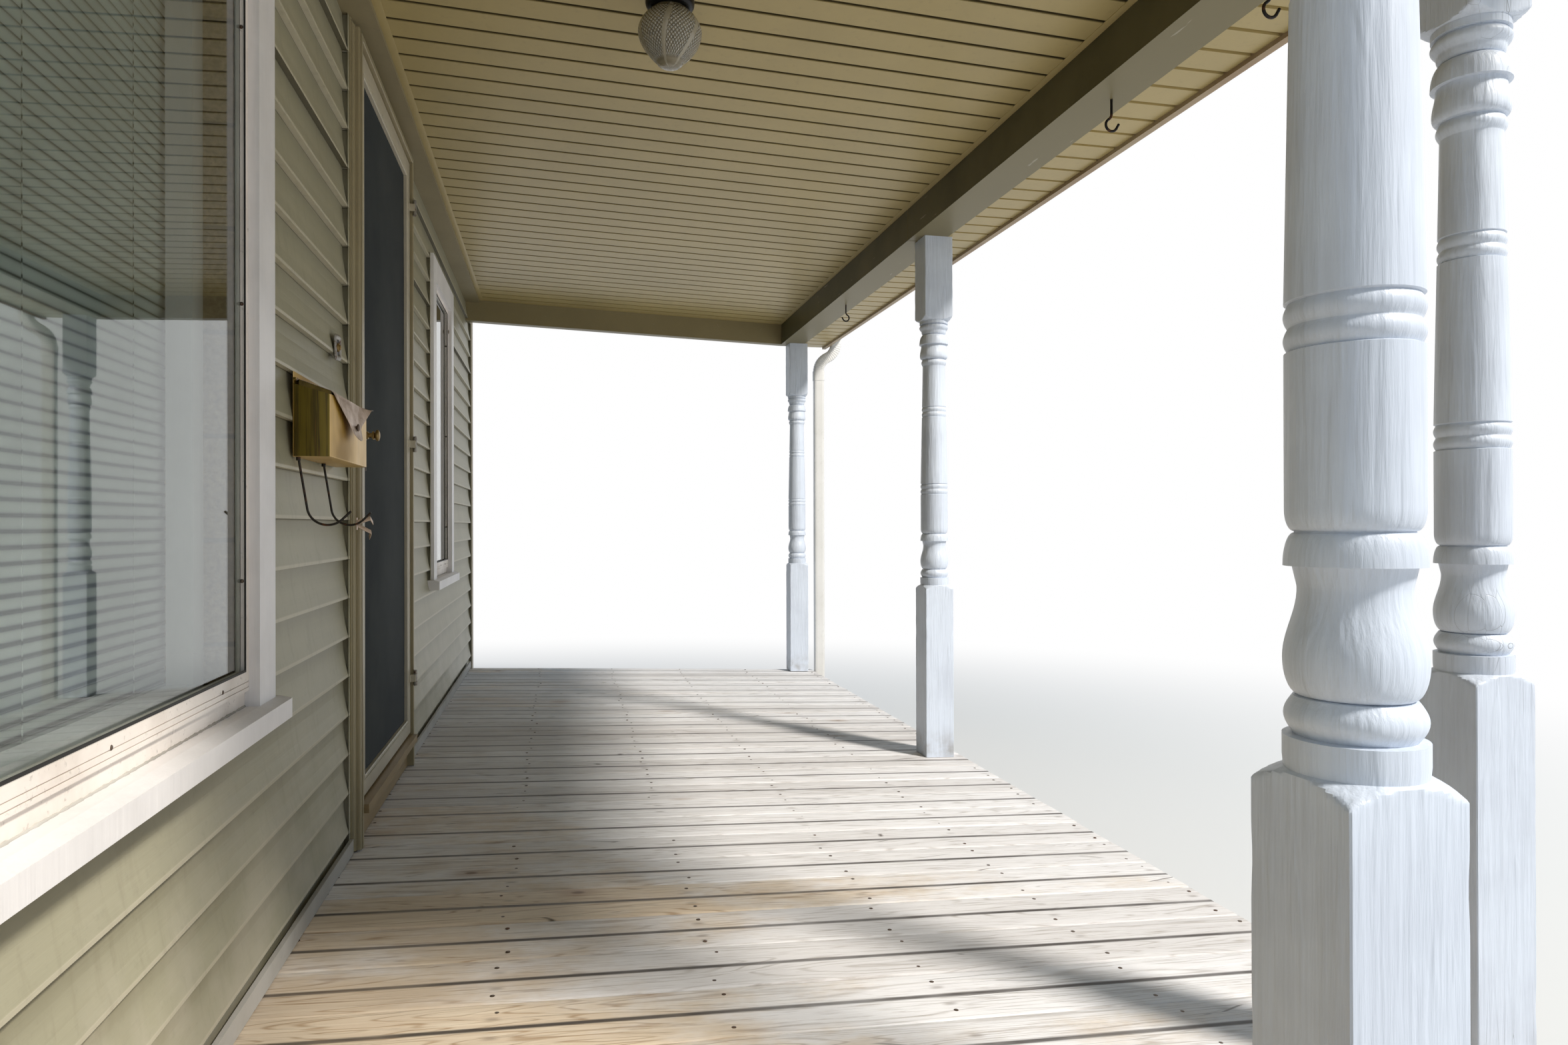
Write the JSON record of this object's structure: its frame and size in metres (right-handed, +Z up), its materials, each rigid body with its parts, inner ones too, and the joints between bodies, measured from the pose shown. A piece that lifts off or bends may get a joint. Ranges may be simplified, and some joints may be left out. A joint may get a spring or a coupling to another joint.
{
  "type": "front porch",
  "caption": "House front porch with turned posts, board deck, boxed beam under a low lean-to roof, and the wall behind with storm door, windows, mailbox and ceiling light.",
  "frame": {"origin": "on the ground under the middle of the deck's length, in the middle of the house foundation's thickness", "axes": "+X along the wall towards the far end with the downspout, +Y into the house, +Z up"},
  "size_m": [6.304, 2.562, 3.36],
  "materials": {
    "concrete": "cast concrete",
    "framing": "weathered softwood",
    "deck_wood": "worn grey deck paint over softwood",
    "wall_boards": "bare sheathing boards",
    "siding_paint": "weathered olive paint on lapped siding",
    "tan_trim": "tan paint",
    "grey_trim": "grey deck paint",
    "white_trim": "white paint",
    "sash_metal": "plain mill finish",
    "window_glass": "clear",
    "blind_slats": "off-white slats",
    "door_trim": "ochre paint",
    "entry_door": "brown stain",
    "storm_door": "almond enamel",
    "screen_mesh": "dark woven mesh",
    "brass": "worn brass",
    "hinge_steel": "zinc plated",
    "mailbox_paint": "old brass-coloured paint",
    "doorbell": "ivory",
    "post_paint": "thick chipped white paint",
    "beam_paint": "dark olive paint",
    "ledger_paint": "brown paint",
    "soffit_metal": "greige enamel on grooved sheet",
    "fascia_paint": "tan enamel with rust stains",
    "gutter_metal": "white enamel",
    "shingles": "grey asphalt shingles",
    "light_metal": "black enamel",
    "light_glass": "pressed ribbed glass",
    "hook_iron": "black"
  },
  "bodies": {
    "porch": {"foundation": "concrete", "deck_piers": "concrete", "deck_frame": "framing", "deck_boards": "deck_wood", "step_stringers": "framing", "step_treads": "deck_wood", "wall_full_height": "wall_boards", "wall_at_openings": "wall_boards", "siding": "siding_paint", "corner_trim": "tan_trim", "base_trim": "grey_trim", "window_casings": "white_trim", "window_sills": "white_trim", "window_sashes": "sash_metal", "window_glass": "window_glass", "window_blinds": "blind_slats", "door_moulding": "door_trim", "door_jambs": "door_trim", "door_kick_board": "door_trim", "entry_door": "entry_door", "storm_door_hinges": "hinge_steel", "mailbox_body": "mailbox_paint", "newspaper_hooks": "mailbox_paint", "doorbell_plate": "doorbell", "far_corner_post": "post_paint", "middle_post": "post_paint", "third_post": "post_paint", "near_corner_post": "post_paint", "near_end_post": "post_paint", "front_beam": "beam_paint", "end_beams": "beam_paint", "wall_ledger_board": "ledger_paint", "porch_ceiling": "soffit_metal", "eave_soffit": "soffit_metal", "fascia": "fascia_paint", "gutter": "gutter_metal", "downspout": "gutter_metal", "roof_end_panels": "tan_trim", "roof_slope": "shingles", "light_holder": "light_metal", "light_shade": "light_glass", "plant_hooks": "hook_iron"},
    "storm_door": {"storm_door_frame": "storm_door", "storm_door_screen": "screen_mesh", "storm_door_handle": "brass"},
    "mailbox_lid": {"mailbox_lid": "mailbox_paint"}
  },
  "joints": [
    {"name": "storm_door_hinge", "type": "hinge", "parent": "porch", "child": "storm_door", "pos_m": [0.2765, -0.151, 1.6], "axis": [0, 0, 1], "range_deg": [0, 95]},
    {"name": "mailbox_lid_hinge", "type": "hinge", "parent": "porch", "child": "mailbox_lid", "pos_m": [-1.023, -0.1225, 1.617], "axis": [-1, 0, 0], "range_deg": [0, 80]}
  ]
}
